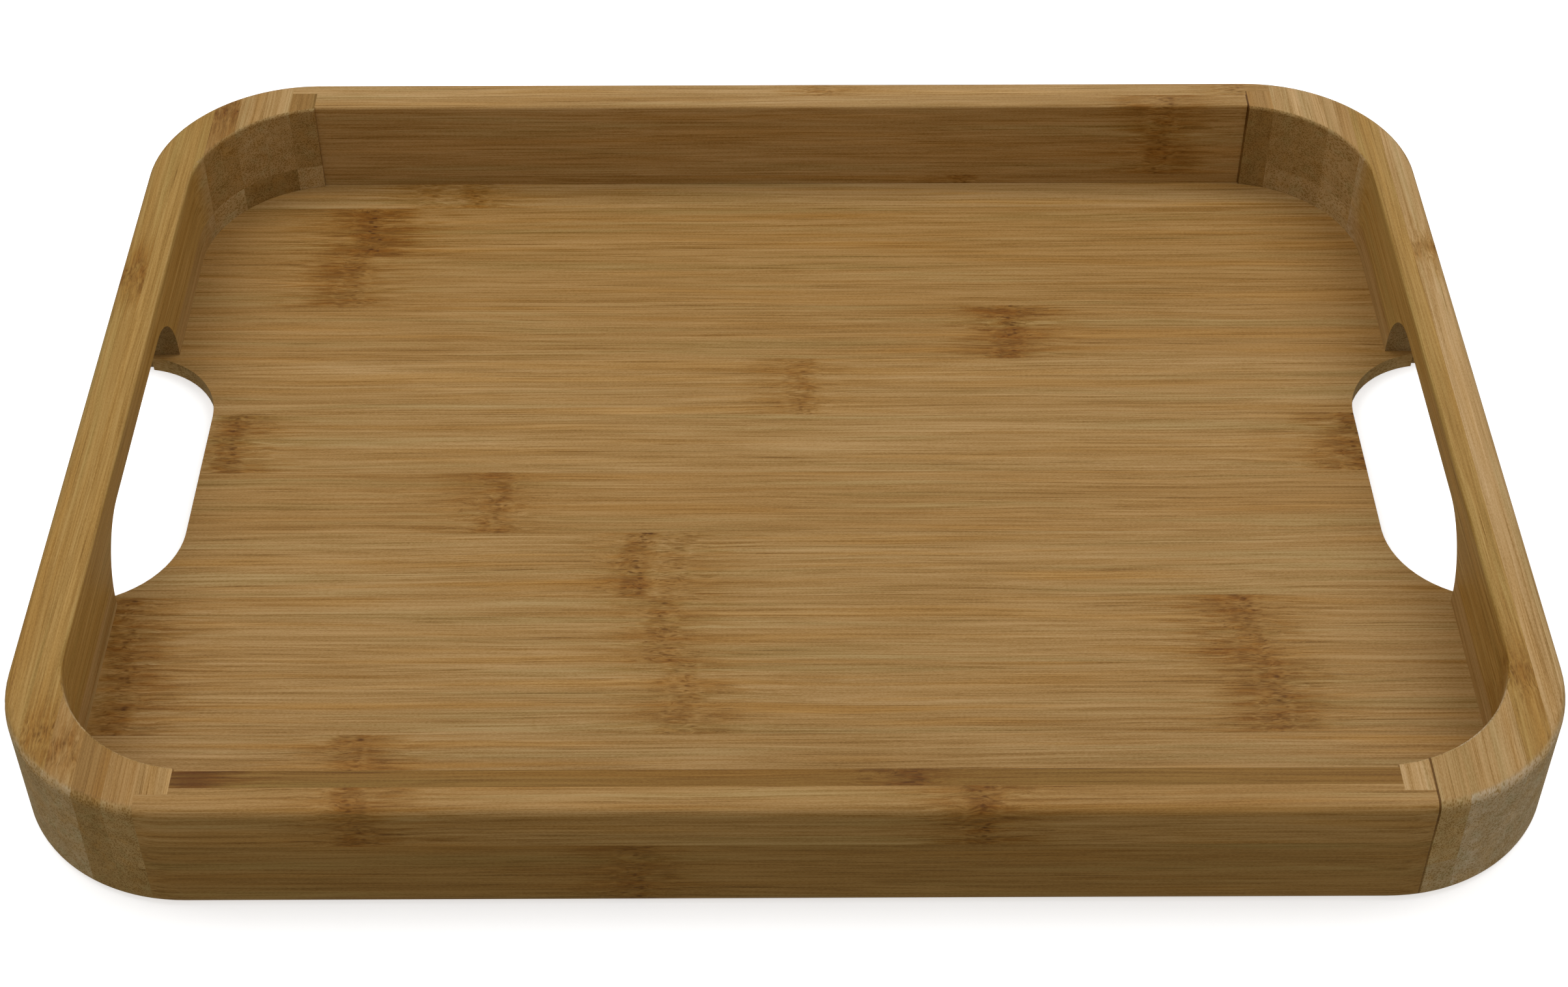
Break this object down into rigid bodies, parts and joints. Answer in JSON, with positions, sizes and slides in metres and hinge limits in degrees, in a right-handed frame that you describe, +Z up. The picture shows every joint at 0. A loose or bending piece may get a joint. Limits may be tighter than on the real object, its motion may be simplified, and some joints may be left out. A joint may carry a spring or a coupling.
{
  "type": "serving tray",
  "caption": "Rectangular bamboo serving tray with rounded corners, a low laminated rim, a staved floor and an open hand hole in each end.",
  "frame": {"origin": "middle of the footprint, on the surface the tray stands on", "axes": "+X along the tray's length to the right, +Y across it to the back, +Z up"},
  "size_m": [0.4, 0.31, 0.036],
  "materials": {
    "floor_bamboo": "oiled satin, caramel bamboo staves with darker nodes",
    "rail_bamboo": "oiled satin, pale bamboo strips",
    "end_bamboo": "oiled satin, golden bamboo strips",
    "block_bamboo": "oiled satin bamboo, darker speckled end grain on the round faces"
  },
  "bodies": {
    "root": {"base_stave_1": "floor_bamboo", "base_stave_2": "floor_bamboo", "base_stave_3": "floor_bamboo", "base_stave_4": "floor_bamboo", "base_stave_5": "floor_bamboo", "base_stave_6": "floor_bamboo", "base_stave_7": "floor_bamboo", "base_stave_8": "floor_bamboo", "base_stave_9": "floor_bamboo", "base_stave_10": "floor_bamboo", "base_stave_11": "floor_bamboo", "base_stave_12": "floor_bamboo", "front_rail_outer_upper": "rail_bamboo", "front_rail_outer_lower": "rail_bamboo", "front_rail_inner_upper": "rail_bamboo", "front_rail_inner_lower": "rail_bamboo", "back_rail_outer_upper": "rail_bamboo", "back_rail_outer_lower": "rail_bamboo", "back_rail_inner_upper": "rail_bamboo", "back_rail_inner_lower": "rail_bamboo", "left_end_outer_upper": "end_bamboo", "left_end_outer_lower": "end_bamboo", "left_end_inner_upper": "end_bamboo", "left_end_inner_lower": "end_bamboo", "right_end_outer_upper": "end_bamboo", "right_end_outer_lower": "end_bamboo", "right_end_inner_upper": "end_bamboo", "right_end_inner_lower": "end_bamboo", "front_left_block_upper_1": "block_bamboo", "front_left_block_upper_2": "block_bamboo", "front_left_block_upper_3": "block_bamboo", "front_left_block_upper_4": "block_bamboo", "front_left_block_lower_1": "block_bamboo", "front_left_block_lower_2": "block_bamboo", "front_left_block_lower_3": "block_bamboo", "front_left_block_lower_4": "block_bamboo", "front_right_block_upper_1": "block_bamboo", "front_right_block_upper_2": "block_bamboo", "front_right_block_upper_3": "block_bamboo", "front_right_block_upper_4": "block_bamboo", "front_right_block_lower_1": "block_bamboo", "front_right_block_lower_2": "block_bamboo", "front_right_block_lower_3": "block_bamboo", "front_right_block_lower_4": "block_bamboo", "back_left_block_upper_1": "block_bamboo", "back_left_block_upper_2": "block_bamboo", "back_left_block_upper_3": "block_bamboo", "back_left_block_upper_4": "block_bamboo", "back_left_block_lower_1": "block_bamboo", "back_left_block_lower_2": "block_bamboo", "back_left_block_lower_3": "block_bamboo", "back_left_block_lower_4": "block_bamboo", "back_right_block_upper_1": "block_bamboo", "back_right_block_upper_2": "block_bamboo", "back_right_block_upper_3": "block_bamboo", "back_right_block_upper_4": "block_bamboo", "back_right_block_lower_1": "block_bamboo", "back_right_block_lower_2": "block_bamboo", "back_right_block_lower_3": "block_bamboo", "back_right_block_lower_4": "block_bamboo"}
  },
  "joints": []
}
